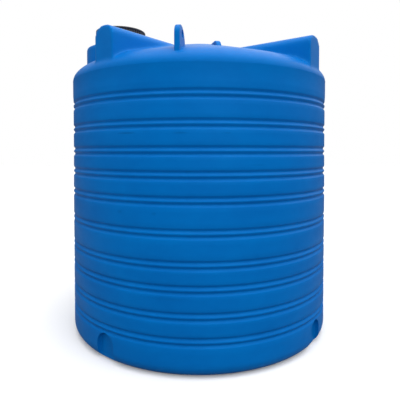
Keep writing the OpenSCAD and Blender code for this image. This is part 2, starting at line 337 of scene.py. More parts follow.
def plate(name: str, outline: Iterable[Point], low: float, high: float) -> bpy.types.Object:
    """Fills a flat outline in X and Z and extrudes it along Y.

    Args:
        name: the new object's name.
        outline: points (x, z) round the shape.
        low: where the plate starts along Y.
        high: where it ends.

    Returns:
        The closed plate.
    """
    piece = draw_chain(name, (Vector((x, low, z)) for x, z in outline))
    bpy.ops.mesh.select_all(action="SELECT")
    bpy.ops.mesh.edge_face_add()
    bpy.ops.mesh.extrude_region_move(
        TRANSFORM_OT_translate={"value": (0.0, high - low, 0.0)}
    )
    bpy.ops.object.mode_set(mode="OBJECT")
    return outward(piece)


def tube(
    name: str, outer: float, inner: float, low: float, high: float, steps: int = 48
) -> bpy.types.Object:
    """A straight ring with softened rims, about the Z axis.

    Args:
        name: the new object's name.
        outer: outside radius.
        inner: inside radius.
        low: level of its lower rim.
        high: level of its upper rim.
        steps: facets round the axis.

    Returns:
        The solid.
    """
    soft = min(0.0012, (outer - inner) / 4, (high - low) / 4)
    return lathe(
        name,
        [
            (inner, low + soft), (inner + soft, low), (outer - soft, low), (outer, low + soft),
            (outer, high - soft), (outer - soft, high), (inner + soft, high), (inner, high - soft),
            (inner, low + soft),
        ],
        steps,
    )


def arc(
    centre: Point, radius: float, start: float, end: float, steps: int
) -> list[Point]:
    """Points of an arc.

    Args:
        centre: its centre.
        radius: its radius.
        start: first angle, in degrees.
        end: last angle, in degrees.
        steps: number of chords.

    Returns:
        steps + 1 points.
    """
    turns = [math.radians(start + (end - start) * i / steps) for i in range(steps + 1)]
    return [(centre[0] + radius * math.cos(t), centre[1] + radius * math.sin(t)) for t in turns]


# ---------------------------------------------------------------- finishes


def add_node(tree: bpy.types.NodeTree, kind: str, **values: object) -> bpy.types.Node:
    """Adds a shader node and sets its properties and input values.

    Args:
        tree: the tree that gets the node.
        kind: the node's type name.
        values: properties of the node, or inputs by name with spaces as underscores.

    Returns:
        The node.
    """
    node = tree.nodes.new(kind)
    for key, value in values.items():
        if hasattr(node, key):
            setattr(node, key, value)
        else:
            node.inputs[key.replace("_", " ")].default_value = value
    return node


def math_node(
    tree: bpy.types.NodeTree,
    operation: str,
    first: object,
    second: object = None,
    clamp: bool = False,
) -> bpy.types.NodeSocket:
    """Adds a Math node.

    Args:
        tree: the tree that gets the node.
        operation: what it works out.
        first: its first input, a socket or a number.
        second: its second input, a socket, a number or nothing.
        clamp: whether the result is kept between 0 and 1.

    Returns:
        The node's output.
    """
    node = tree.nodes.new("ShaderNodeMath")
    node.operation = operation
    node.use_clamp = clamp
    for slot, value in zip(node.inputs, (first, second)):
        if isinstance(value, bpy.types.NodeSocket):
            tree.links.new(value, slot)
        elif value is not None:
            slot.default_value = value
    return node.outputs[0]


def new_group(
    name: str, inputs: dict[str, float | tuple[float, ...]], outputs: dict[str, str]
) -> tuple[bpy.types.NodeTree, bpy.types.Node, bpy.types.Node]:
    """Starts a shader node group with named sockets.

    Args:
        name: the group's name.
        inputs: default value of each input; four numbers make a colour.
        outputs: socket type of each output.

    Returns:
        The tree, its input node and its output node.
    """
    tree = bpy.data.node_groups.new(name, "ShaderNodeTree")
    for label, value in inputs.items():
        kind = "NodeSocketColor" if isinstance(value, tuple) else "NodeSocketFloat"
        socket = tree.interface.new_socket(label, in_out="INPUT", socket_type=kind)
        socket.default_value = value
    for label, kind in outputs.items():
        tree.interface.new_socket(label, in_out="OUTPUT", socket_type=kind)
    return tree, tree.nodes.new("NodeGroupInput"), tree.nodes.new("NodeGroupOutput")


def mottle_group() -> bpy.types.NodeTree:
    """Slow cloudy variation of moulded plastic.

    Returns:
        A group that puts out a value round 0.5 and a height for bump.
    """
    tree, start, end = new_group(
        "mottle",
        {"Size": 0.4, "Stretch": 1.0},
        {"Value": "NodeSocketFloat", "Height": "NodeSocketFloat"},
    )
    link = tree.links.new
    place_in = add_node(tree, "ShaderNodeTexCoord")
    split = add_node(tree, "ShaderNodeSeparateXYZ")
    build = add_node(tree, "ShaderNodeCombineXYZ")
    link(place_in.outputs["Object"], split.inputs[0])
    link(split.outputs[0], build.inputs[0])
    link(split.outputs[1], build.inputs[1])
    link(math_node(tree, "MULTIPLY", split.outputs[2], start.outputs["Stretch"]), build.inputs[2])
    scale = math_node(tree, "DIVIDE", 1.0, start.outputs["Size"])
    broad = add_node(tree, "ShaderNodeTexNoise", Detail=2.0, Roughness=0.5)
    fine = add_node(tree, "ShaderNodeTexNoise", Detail=4.0, Roughness=0.6)
    link(build.outputs[0], broad.inputs["Vector"])
    link(build.outputs[0], fine.inputs["Vector"])
    link(scale, broad.inputs["Scale"])
    link(math_node(tree, "MULTIPLY", scale, 5.0), fine.inputs["Scale"])
    both = math_node(
        tree, "ADD", math_node(tree, "MULTIPLY", broad.outputs[0], 0.7),
        math_node(tree, "MULTIPLY", fine.outputs[0], 0.3),
    )
    link(both, end.inputs["Value"])
    link(broad.outputs[0], end.inputs["Height"])
    return tree


def grain_group() -> bpy.types.NodeTree:
    """Fine pitted texture that a mould leaves on plastic or cast metal.

    Returns:
        A group that puts out a height and a speckle mask.
    """
    tree, start, end = new_group(
        "grain", {"Grain": 0.004}, {"Height": "NodeSocketFloat", "Speckle": "NodeSocketFloat"}
    )
    link = tree.links.new
    place_in = add_node(tree, "ShaderNodeTexCoord")
    scale = math_node(tree, "DIVIDE", 1.0, start.outputs["Grain"])
    noise = add_node(tree, "ShaderNodeTexNoise", Detail=3.0, Roughness=0.65)
    link(place_in.outputs["Object"], noise.inputs["Vector"])
    link(scale, noise.inputs["Scale"])
    link(noise.outputs[0], end.inputs["Height"])
    spots = math_node(tree, "SUBTRACT", noise.outputs[0], 0.62)
    link(math_node(tree, "MULTIPLY", spots, 8.0, clamp=True), end.inputs["Speckle"])
    return tree


def streak_group() -> bpy.types.NodeTree:
    """Thin scuffs that run level round an upright wall.

    Returns:
        A group that puts out a mask, 1 where the wall is scuffed.
    """
    tree, start, end = new_group(
        "streaks", {"Length": 0.25, "Width": 0.012, "Amount": 0.3}, {"Mask": "NodeSocketFloat"}
    )
    link = tree.links.new
    place_in = add_node(tree, "ShaderNodeTexCoord")
    split = add_node(tree, "ShaderNodeSeparateXYZ")
    build = add_node(tree, "ShaderNodeCombineXYZ")
    link(place_in.outputs["Object"], split.inputs[0])
    for axis in (0, 1):
        along = math_node(tree, "DIVIDE", split.outputs[axis], start.outputs["Length"])
        link(along, build.inputs[axis])
    link(math_node(tree, "DIVIDE", split.outputs[2], start.outputs["Width"]), build.inputs[2])
    noise = add_node(tree, "ShaderNodeTexNoise", Scale=1.0, Detail=3.0, Roughness=0.55)
    link(build.outputs[0], noise.inputs["Vector"])
    drop = math_node(tree, "MULTIPLY", start.outputs["Amount"], 0.35)
    level = math_node(tree, "SUBTRACT", 0.85, drop)
    over = math_node(tree, "SUBTRACT", noise.outputs[0], level)
    link(math_node(tree, "MULTIPLY", over, 7.0, clamp=True), end.inputs["Mask"])
    return tree


def mark_group() -> bpy.types.NodeTree:
    """One soft-edged mark at a place round the tank.

    Returns:
        A group that puts out a mask, 1 in the middle of the mark.
    """
    tree, start, end = new_group(
        "mark",
        {"Turn": 0.0, "Height": 1.0, "Half Length": 0.1, "Half Height": 0.01},
        {"Mask": "NodeSocketFloat"},
    )
    link = tree.links.new
    place_in = add_node(tree, "ShaderNodeTexCoord")
    split = add_node(tree, "ShaderNodeSeparateXYZ")
    link(place_in.outputs["Object"], split.inputs[0])
    back = math_node(tree, "MULTIPLY", split.outputs[1], -1.0)
    turn = math_node(tree, "ARCTAN2", split.outputs[0], back)
    off_turn = math_node(tree, "SUBTRACT", turn, start.outputs["Turn"])
    along = math_node(tree, "DIVIDE", off_turn, start.outputs["Half Length"])
    off_height = math_node(tree, "SUBTRACT", split.outputs[2], start.outputs["Height"])
    up = math_node(tree, "DIVIDE", off_height, start.outputs["Half Height"])
    away = math_node(
        tree, "ADD", math_node(tree, "MULTIPLY", along, along), math_node(tree, "MULTIPLY", up, up)
    )
    link(math_node(tree, "SUBTRACT", 1.0, away, clamp=True), end.inputs["Mask"])
    return tree


class Effects:
    """The node groups that the finishes share, each built once."""

    _made: dict[str, bpy.types.NodeTree] = {}
    _makers: dict[str, Callable[[], bpy.types.NodeTree]] = {
        "mottle": mottle_group,
        "grain": grain_group,
        "streaks": streak_group,
        "mark": mark_group,
    }

    @classmethod
    def place_in(cls, tree: bpy.types.NodeTree, name: str, **values: float) -> bpy.types.Node:
        """Puts an effect in a material.

        Args:
            tree: the material's node tree.
            name: the effect's name.
            values: its inputs, with spaces as underscores.

        Returns:
            The group node.
        """
        if name not in cls._made:
            cls._made[name] = cls._makers[name]()
        node = tree.nodes.new("ShaderNodeGroup")
        node.node_tree = cls._made[name]
        for key, value in values.items():
            node.inputs[key.replace("_", " ")].default_value = value
        return node


@dataclass(frozen=True)
class Mark:
    """A scuff or smudge at a place on the wall.

    Turn is in degrees from the front, half_length in radians round the wall.
    """

    turn: float
    height: float
    half_length: float
    half_height: float
    strength: float = 1.0


@dataclass(frozen=True)
class Finish:
    """A procedural material: cloudy colour, fine grain and wear."""

    name: str
    colour: tuple[float, float, float]
    shade: tuple[float, float, float]
    roughness: float = 0.5
    rough_change: float = 0.1
    metallic: float = 0.0
    specular: float = 0.5
    mottle_size: float = 0.3
    mottle_stretch: float = 1.0
    grain: float = 0.004
    grain_depth: float = 0.0002
    wave_depth: float = 0.0
    speckle: tuple[float, float, float] = (0.5, 0.5, 0.5)
    speckle_share: float = 0.0
    scuff: tuple[float, float, float] | None = None
    scuff_share: float = 0.25
    marks: tuple[Mark, ...] = ()
    tint: tuple[float, float, float] = (1.0, 1.0, 1.0)
    ior: float = 1.45

    def material(self) -> bpy.types.Material:
        """Builds the material, or returns it if it is there already."""
        label = f"{self.name}_finish"
        known = bpy.data.materials.get(label)
        if known:
            return known
        made = bpy.data.materials.new(label)
        made.use_nodes = True
        tree = made.node_tree
        link = tree.links.new
        shader = next(n for n in tree.nodes if n.type == "BSDF_PRINCIPLED")
        shader.inputs["Metallic"].default_value = self.metallic
        shader.inputs["Specular IOR Level"].default_value = self.specular
        shader.inputs["Specular Tint"].default_value = (*self.tint, 1)
        shader.inputs["IOR"].default_value = self.ior

        mottle = Effects.place_in(
            tree, "mottle", Size=self.mottle_size, Stretch=self.mottle_stretch
        )
        grain = Effects.place_in(tree, "grain", Grain=self.grain)
        spread = add_node(tree, "ShaderNodeMapRange", From_Min=0.35, From_Max=0.65)
        link(mottle.outputs["Value"], spread.inputs[0])
        colour = self._mix(tree, spread.outputs[0], (*self.shade, 1), (*self.colour, 1))
        if self.speckle_share:
            share = math_node(tree, "MULTIPLY", grain.outputs["Speckle"], self.speckle_share)
            colour = self._mix(tree, share, colour, (*self.speckle, 1))
        rough = add_node(
            tree,
            "ShaderNodeMapRange",
            To_Min=self.roughness + self.rough_change,
            To_Max=self.roughness - self.rough_change,
        )
        link(spread.outputs[0], rough.inputs[0])
        if self.scuff:
            colour = self._scuffs(tree, colour)
        link(colour, shader.inputs["Base Color"])
        link(rough.outputs[0], shader.inputs["Roughness"])
        self._bump(tree, shader, mottle, grain)
        return made

    def _mix(
        self, tree: bpy.types.NodeTree, share: bpy.types.NodeSocket, first: object, second: object
    ) -> bpy.types.NodeSocket:
        """Mixes two colours, each a socket or four numbers, by a share."""
        mix = add_node(tree, "ShaderNodeMix", data_type="RGBA")
        tree.links.new(share, mix.inputs[0])
        for slot, value in ((mix.inputs[6], first), (mix.inputs[7], second)):
            if isinstance(value, bpy.types.NodeSocket):
                tree.links.new(value, slot)
            else:
                slot.default_value = value
        return mix.outputs[2]

    def _scuffs(
        self, tree: bpy.types.NodeTree, colour: bpy.types.NodeSocket
    ) -> bpy.types.NodeSocket:
        """Adds level scuffs all over and the marks at their places."""
        streaks = Effects.place_in(tree, "streaks", Amount=self.scuff_share)
        mask = math_node(tree, "MULTIPLY", streaks.outputs[0], 0.35)
        for mark in self.marks:
            spot = Effects.place_in(
                tree, "mark", Turn=math.radians(mark.turn), Height=mark.height,
                Half_Length=mark.half_length, Half_Height=mark.half_height,
            )
            share = math_node(tree, "MULTIPLY", spot.outputs[0], mark.strength)
            mask = math_node(tree, "ADD", mask, share, clamp=True)
        return self._mix(tree, mask, colour, (*self.scuff, 1))

    def _bump(
        self,
        tree: bpy.types.NodeTree,
        shader: bpy.types.Node,
        mottle: bpy.types.Node,
        grain: bpy.types.Node,
    ) -> None:
        """Adds fine grain, and slow waves where the finish has them."""
        fine = add_node(tree, "ShaderNodeBump", Strength=1.0, Distance=self.grain_depth)
        tree.links.new(grain.outputs["Height"], fine.inputs["Height"])
        if self.wave_depth:
            wave = add_node(tree, "ShaderNodeBump", Strength=1.0, Distance=self.wave_depth)
            tree.links.new(mottle.outputs["Height"], wave.inputs["Height"])
            tree.links.new(wave.outputs[0], fine.inputs["Normal"])
        tree.links.new(fine.outputs[0], shader.inputs["Normal"])


TANK_BLUE = Finish(
    "tank_blue", (0.0, 0.150, 0.505), (0.0, 0.131, 0.462), roughness=0.40, rough_change=0.05,
    ior=1.19, tint=(0.4, 0.7, 1.0),
    mottle_size=0.42, mottle_stretch=1.7, grain=0.006, grain_depth=0.00018, wave_depth=0.004,
    speckle=(0.01, 0.16, 0.52), speckle_share=0.15, scuff=(0.0, 0.065, 0.23), scuff_share=0.12,
    marks=(
        Mark(-26.5, 1.706, 0.079, 0.008, 0.50),
        Mark(-6.3, 1.703, 0.055, 0.008, 0.35),
        Mark(9.8, 1.703, 0.030, 0.007, 0.20),
        Mark(-29.5, 1.145, 0.022, 0.015, 0.22),
        Mark(-15.7, 1.145, 0.018, 0.014, 0.20),
        Mark(21.0, 1.480, 0.060, 0.010, 0.12),
        Mark(-12.0, 0.560, 0.160, 0.016, 0.15),
    ),
)
LID_BLACK = Finish(
    "lid_black", (0.016, 0.020, 0.030), (0.010, 0.012, 0.018), roughness=0.42, rough_change=0.06,
    mottle_size=0.12, grain=0.0015, grain_depth=0.00012,
    speckle=(0.10, 0.11, 0.12), speckle_share=0.2,
)
FITTING_BLACK = Finish(
    "fitting_black", (0.022, 0.023, 0.025), (0.014, 0.015, 0.016),
    roughness=0.48, rough_change=0.08,
    mottle_size=0.06, grain=0.001, grain_depth=0.0001,
    speckle=(0.12, 0.12, 0.12), speckle_share=0.15,
)
SEAL_RUBBER = Finish(
    "seal_rubber", (0.012, 0.012, 0.012), (0.020, 0.020, 0.019),
    roughness=0.75, rough_change=0.08,
    mottle_size=0.05, grain=0.0012, grain_depth=0.0001,
)
VALVE_GREY = Finish(
    "valve_grey", (0.13, 0.14, 0.15), (0.10, 0.108, 0.115), roughness=0.40, rough_change=0.07,
    mottle_size=0.07, grain=0.0012, grain_depth=0.00008,
    speckle=(0.25, 0.26, 0.27), speckle_share=0.15,
)
SEAT_WHITE = Finish(
    "seat_white", (0.78, 0.78, 0.74), (0.70, 0.70, 0.66), roughness=0.45, rough_change=0.05,
    mottle_size=0.05, grain=0.001, grain_depth=0.00005,
)
HANDLE_RED = Finish(
    "handle_red", (0.50, 0.016, 0.010), (0.38, 0.012, 0.008), roughness=0.33, rough_change=0.08,
    mottle_size=0.05, grain=0.001, grain_depth=0.00006,
    speckle=(0.55, 0.10, 0.08), speckle_share=0.2,
)
BRASS = Finish(
    "brass", (0.62, 0.42, 0.15), (0.44, 0.28, 0.10),
    roughness=0.34, rough_change=0.12, metallic=1.0,
    mottle_size=0.03, grain=0.0008, grain_depth=0.00005,
    speckle=(0.25, 0.16, 0.07), speckle_share=0.35,
)
STEEL = Finish(
    "steel", (0.58, 0.58, 0.59), (0.45, 0.45, 0.46),
    roughness=0.30, rough_change=0.08, metallic=1.0,
    mottle_size=0.02, grain=0.0006, grain_depth=0.00003,
)
FLOAT_ORANGE = Finish(
    "float_orange", (0.70, 0.17, 0.02), (0.58, 0.13, 0.015), roughness=0.38, rough_change=0.06,
    mottle_size=0.06, grain=0.0015, grain_depth=0.0001,
)
FINISHES = {
    f.name: f
    for f in (
        TANK_BLUE, LID_BLACK, FITTING_BLACK, SEAL_RUBBER, VALVE_GREY,
        SEAT_WHITE, HANDLE_RED, BRASS, STEEL, FLOAT_ORANGE,
    )
}


def dress(piece: bpy.types.Object, finish: Finish) -> bpy.types.Object:
    """Gives a piece one finish on all its faces.

    Args:
        piece: the mesh.
        finish: its only material.

    Returns:
        The piece.
    """
    piece.data.materials.clear()
    piece.data.materials.append(finish.material())
    return piece


def hand_over(
    piece: bpy.types.Object,
    body: str,
    finish: Finish,
    nodes: tuple[str, ...] = (),
    angle: float = 35.0,
) -> None:
    """Finishes a new piece: shading, material, body and the CAD nodes it stands for.

    Args:
        piece: the finished mesh.
        body: the CAD body it rides on.
        finish: its material.
        nodes: CAD nodes it replaces.
        angle: edges sharper than this stay crisp, in degrees.
    """
    smooth_shading(piece, angle)
    dress(piece, finish)
    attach(piece, body)
    if nodes:
        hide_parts(*nodes)
    LOG.info("%s: %d faces on %s", piece.name, len(piece.data.polygons), body)


# ---------------------------------------------------------------- tank body


@dataclass(frozen=True)
class Fin:
    """Upright radial fin with two rounded top corners and a round hole.

    The outer edge and the hole are measured from the tank's axis, and the level part
    of the top lies between the corners.
    """

    outer: float
    top: float
    outer_corner: float
    inner_corner: float
    flat: float
    low: float
    hole_distance: float
    hole_height: float
    hole_radius: float
    half: float = 0.020
    root: float = 0.015
    softening: float = 0.006

    def hole(self) -> bpy.types.Object:
        """Round bar across the fin, to cut its hole."""
        bpy.ops.mesh.primitive_cylinder_add(vertices=48, radius=self.hole_radius, depth=0.1)
        bar = new_piece("bar")
        across = Matrix.Rotation(math.radians(90), 4, "Y")
        return place(
            bar, Matrix.Translation((0, -self.hole_distance, self.hole_height)) @ across
        )

    def build(self) -> bpy.types.Object:
        """Builds the fin with its hole, on the front side of the tank.

        Returns:
            The solid.
        """
        crest = self.outer - self.outer_corner
        outer_arc = arc((crest, self.top - self.outer_corner), self.outer_corner, 0, 90, 14)
        inner_arc = arc(
            (crest - self.flat, self.top - self.inner_corner), self.inner_corner, 90, 172, 16
        )
        outline = [
            (-self.outer, self.low),
            *((-r, z) for r, z in outer_arc),
            *((-r, z) for r, z in inner_arc),
            (-(crest - self.flat - self.inner_corner - self.root), self.low),
        ]
        piece = plate("fin", outline, -self.half, self.half)
        place(piece, Matrix.Rotation(math.radians(90), 4, "Z"))
        round_edges(piece, self.softening, 50, 3)
        return cut(piece, self.hole(), Cut.TAKE)


EYE = Fin(
    outer=1.104, top=2.468, outer_corner=0.075, inner_corner=0.138, flat=0.010, low=2.230,
    hole_distance=0.995, hole_height=2.415, hole_radius=0.028,
)
TETHER_LUG = Fin(
    outer=0.650, top=2.482, outer_corner=0.080, inner_corner=0.110, flat=0.110, low=2.330,
    hole_distance=0.575, hole_height=2.448, hole_radius=0.012,
)


@dataclass
class TankBody:
    """The blue moulding: ribbed wall, sloping top, turrets, platform, eyes and neck."""

    wall_radius: float = 1.1535
    lower_radius: float = 1.1564
    lean_top: float = 1.55
    lean_height: float = 0.30
    thickness: float = 0.010
    top_thickness: float = 0.014
    mould_line: float = 2.185
    band_radius: float = 1.1560
    band_rise: float = 0.05
    bead_radius: float = 1.1568
    shoulder_reach: float = 0.412
    shoulder_rise: float = 0.177
    foot_radius: float = 0.092
    top_slope: float = 16.4
    crown_start: float = 0.400
    rib_groups: tuple[float, ...] = (
        0.257, 0.430, 0.619, 0.788, 1.008, 1.232, 1.408, 1.579, 1.767, 1.970,
    )
    rib_pitch: float = 0.044
    rib_depth: float = 0.0118
    steps: int = 192
    turret_angles: tuple[float, ...] = (-39.1, 54.0, 142.5, -127.5)
    recess_angles: tuple[float, ...] = (-37.5, 54.0, 142.5, -127.5)
    turret_faces: tuple[float, ...] = (1.127, 1.138, 1.127, 1.127)
    ridges: tuple[float, ...] = (2.518, 2.498, 2.518, 2.518)
    turret_half: float = 0.102
    turret_rise: float = 0.075
    turret_nose: float = 0.430
    ridge: float = 2.518
    recess_half: float = 0.090
    recess_face: float = 1.115
    recess_height: float = 0.220
    manway_angle: float = -82.5
    manway_distance: float = 0.736
    platform_radius: float = 0.307
    platform_edge: float = 0.024
    neck_bore: float = 0.198
    neck_radius: float = 0.2075
    neck_top: float = 2.664
    eye_angles: tuple[float, ...] = (-8.0, 172.0)
    tether_angle: float = 14.5
    voxel: float = 0.0105
    smooth_rounds: int = 7

    @property
    def manway(self) -> Point:
        """Place of the manway's axis."""
        turn = math.radians(self.manway_angle)
        return (self.manway_distance * math.sin(turn), -self.manway_distance * math.cos(turn))

    def wall_at(self, z: float) -> float:
        """Radius of the wall's outside at a height.

        Args:
            z: the height.

        Returns:
            The radius, with the grooves and the band under the mould line.
        """
        lean = min(1.0, max(0.0, (self.lean_top - z) / self.lean_height))
        radius = self.wall_radius + (self.lower_radius - self.wall_radius) * lean
        for centre in self.rib_groups:
            away = z - centre
            if abs(away) < self.rib_pitch:
                radius -= self.rib_depth * 0.5 * (1 - math.cos(FULL_TURN * away / self.rib_pitch))
        band_start = self.rib_groups[-1] + self.rib_pitch
        if z > band_start:
            rise = min(1.0, (z - band_start) / self.band_rise)
            radius += (self.band_radius - self.wall_radius) * (3 * rise**2 - 2 * rise**3)
        return radius

    def wall_heights(self, per_rib: int) -> list[float]:
        """Heights of the wall's rings, close together in the ribs.

        Args:
            per_rib: rings in one groove.

        Returns:
            Heights from the foot to the mould line.
        """
        heights: set[float] = {self.foot_radius, 0.12, 0.17, self.mould_line - 0.006}
        for centre in self.rib_groups:
            for i in range(-per_rib, per_rib + 1):
                heights.add(round(centre + self.rib_pitch * i / per_rib, 6))
        for low, high in zip(self.rib_groups, self.rib_groups[1:]):
            start, end = low + self.rib_pitch, high - self.rib_pitch
            for i in range(1, 4):
                heights.add(round(start + (end - start) * i / 4, 6))
        top = self.rib_groups[-1] + self.rib_pitch
        heights.update(round(top + self.band_rise * i / 4, 6) for i in range(1, 5))
        return sorted(heights)

    def recess_cutter(self, grown: float) -> bpy.types.Object:
        """Arched prism that cuts one foot recess.

        Args:
            grown: how far its sides and its end stand out, for the inside of the wall.

        Returns:
            The solid, on the front side of the tank.
        """
        half = self.recess_half + grown
        spring = self.recess_height - self.recess_half
        outline = [(-half, -0.05), (half, -0.05), *arc((0, spring), half, 0, 180, 24)]
        cutter = plate("recess", outline, -1.3, -self.recess_face + grown)
        if not grown:
            round_edges(cutter, 0.010, 60, 3)
        return cutter

    def wall(self) -> bpy.types.Object:
        """Ribbed wall and floor, cut by the four foot recesses."""
        foot_centre = (self.lower_radius - self.foot_radius, self.foot_radius)
        foot = arc(foot_centre, self.foot_radius, -90, 0, 10)
        heights = self.wall_heights(10)
        skin = [(0.0, 0.0), (0.5, 0.0), *foot[:-1], *((self.wall_at(z), z) for z in heights)]
        skin += [(self.bead_radius, self.mould_line - 0.003), (self.bead_radius, self.mould_line)]
        outside = lathe("tank_wall", [*skin, (0.0, self.mould_line)], self.steps)
        t = self.thickness
        inner_foot = arc(foot_centre, self.foot_radius - t, -90, 0, 5)
        inner_wall = ((self.wall_at(z) - t, z) for z in self.wall_heights(4))
        hollow = [(0.0, t), *inner_foot[:-1], *inner_wall]
        hollow += [(self.bead_radius - t, self.mould_line + 0.05), (0.0, self.mould_line + 0.05)]
        inside = lathe("cavity", hollow, 96)
        for angle in self.recess_angles:
            cut(outside, place(self.recess_cutter(0.0), angle=angle), Cut.TAKE)
            cut(inside, place(self.recess_cutter(t), angle=angle), Cut.TAKE)
        return cut(outside, inside, Cut.TAKE)

    def dome_outline(self, inset: float, low: float) -> list[Point]:
        """Half outline of the top, from a level below the mould line to the middle.

        Args:
            inset: how far the skin is moved inwards.
            low: the level it starts from.

        Returns:
            Points (radius, height).
        """
        slope = math.tan(math.radians(self.top_slope))
        reach, rise = self.shoulder_reach - inset, self.shoulder_rise - inset
        last = math.atan2(rise, reach * slope)
        bend = self.band_radius - self.shoulder_reach
        shoulder = [
            (bend + reach * math.cos(t), self.mould_line + rise * math.sin(t))
            for t in (last * i / 18 for i in range(19))
        ]
        end_r, end_z = shoulder[-1]
        start_z = end_z + (end_r - self.crown_start) * slope
        radius = self.crown_start / math.sin(math.radians(self.top_slope))
        middle = start_z - radius * math.cos(math.radians(self.top_slope))
        crown = arc((0.0, middle), radius, 90 - self.top_slope, 90, 6)
        crown[-1] = (0.0, crown[-1][1])
        return [(0.0, low), (self.band_radius - inset, low), *shoulder, *crown]

    def turret(self, inset: float, face: float, ridge: float) -> bpy.types.Object:
        """One radial turret with an arched ridge and a round inner end.

        Args:
            inset: how far its skin is moved inwards.
            face: distance of its flat face from the tank's axis.
            ridge: level of its ridge.

        Returns:
            The solid, on the front side of the tank.
        """
        half = self.turret_half - inset
        spring = ridge - self.turret_rise
        arch = [
            (half * math.cos(t), spring + (self.turret_rise - inset) * math.sin(t))
            for t in (math.pi * i / 24 for i in range(25))
        ]
        low = self.mould_line + 0.010
        outline = [(-half, low), (half, low), *arch]
        body = plate("turret", outline, -face + inset, -self.turret_nose)
        round_end = [
            (0.0, low + 0.002), (half - 0.0005, low + 0.002),
            *arch[:12], (0.0, ridge - inset - 0.0005),
        ]
        nose = lathe("nose", round_end, 48, (0.0, -self.turret_nose))
        return cut(body, nose, Cut.ADD)

    def platform(self, inset: float) -> bpy.types.Object:
        """Round platform under the neck.

        Args:
            inset: how far its skin is moved inwards.

        Returns:
            The solid.
        """
        edge, low = self.platform_edge, self.mould_line + 0.02
        outline = [
            (0.0, low), (self.platform_radius - inset, low),
            *arc((self.platform_radius - edge, self.ridge - edge), edge - inset, 0, 90, 6),
            (0.0, self.ridge - inset),
        ]
        return lathe("platform", outline, 96, self.manway)

    def top_form(self, name: str, inset: float, low: float) -> bpy.types.Object:
        """Dome, turrets and platform as one solid.

        Args:
            name: the new object's name.
            inset: how far its skin is moved inwards.
            low: level of its flat underside.

        Returns:
            The solid.
        """
        whole = lathe(name, self.dome_outline(inset, low), self.steps if not inset else 96)
        for angle, face, ridge in zip(self.turret_angles, self.turret_faces, self.ridges):
            cut(whole, place(self.turret(inset, face, ridge), angle=angle), Cut.ADD)
        return cut(whole, self.platform(inset), Cut.ADD)

    def top(self) -> bpy.types.Object:
        """Sloping top with soft fillets, its fins and the opening under the neck."""
        skin = self.top_form("tank_top", 0.0, self.mould_line - 0.08)
        pick(skin)
        remesh = skin.modifiers.new("remesh", "REMESH")
        remesh.mode = "VOXEL"
        remesh.voxel_size = self.voxel
        smooth = skin.modifiers.new("smooth", "SMOOTH")
        smooth.factor = 0.5
        smooth.iterations = self.smooth_rounds
        finish_modifiers(skin)
        select_faces(skin, lambda face: True)
        bpy.ops.mesh.bisect(
            plane_co=(0, 0, self.mould_line), plane_no=(0, 0, 1), clear_inner=True, use_fill=True
        )
        bpy.ops.object.mode_set(mode="OBJECT")
        outward(skin)
        for angle in self.eye_angles:
            cut(skin, place(EYE.build(), angle=angle), Cut.ADD)
        cut(skin, place(TETHER_LUG.build(), angle=self.tether_angle), Cut.ADD)
        hollow = self.top_form("cavity", self.top_thickness, self.mould_line - 0.05)
        cut(skin, hollow, Cut.TAKE)
        bore = tube("bore", self.neck_bore, 0.001, self.ridge - 0.10, self.ridge + 0.10, 96)
        place(bore, Matrix.Translation((*self.manway, 0)))
        return cut(skin, bore, Cut.TAKE)

    def neck(self) -> bpy.types.Object:
        """Upright neck with a softened rim."""
        low = self.ridge - 0.030
        outline = [
            (self.neck_bore, low), (self.neck_radius + 0.010, low),
            (self.neck_radius + 0.010, self.ridge), (self.neck_radius + 0.004, self.ridge + 0.003),
            (self.neck_radius, self.ridge + 0.010),
        ]
        for turn in range(3):
            crest = self.ridge + 0.062 + 0.022 * turn
            outline += [
                (self.neck_radius, crest - 0.007), (self.neck_radius + 0.003, crest - 0.003),
                (self.neck_radius + 0.003, crest + 0.003), (self.neck_radius, crest + 0.007),
            ]
        outline += [
            (self.neck_radius, self.neck_top - 0.003), (self.neck_radius - 0.003, self.neck_top),
            (self.neck_bore + 0.003, self.neck_top), (self.neck_bore, self.neck_top - 0.003),
            (self.neck_bore, low),
        ]
        return lathe("tank_neck", outline, 96, self.manway)

    def build(self) -> None:
        """Builds the moulding and hands it over."""
        wall, top, neck = self.wall(), self.top(), self.neck()
        hand_over(wall, "tank", TANK_BLUE, ("tank_shell",), 50)
        hand_over(top, "tank", TANK_BLUE, ("tank_shell",), 45)
        hand_over(neck, "tank", TANK_BLUE, ("tank_shell",), 40)


# ---------------------------------------------------------------- manway lid


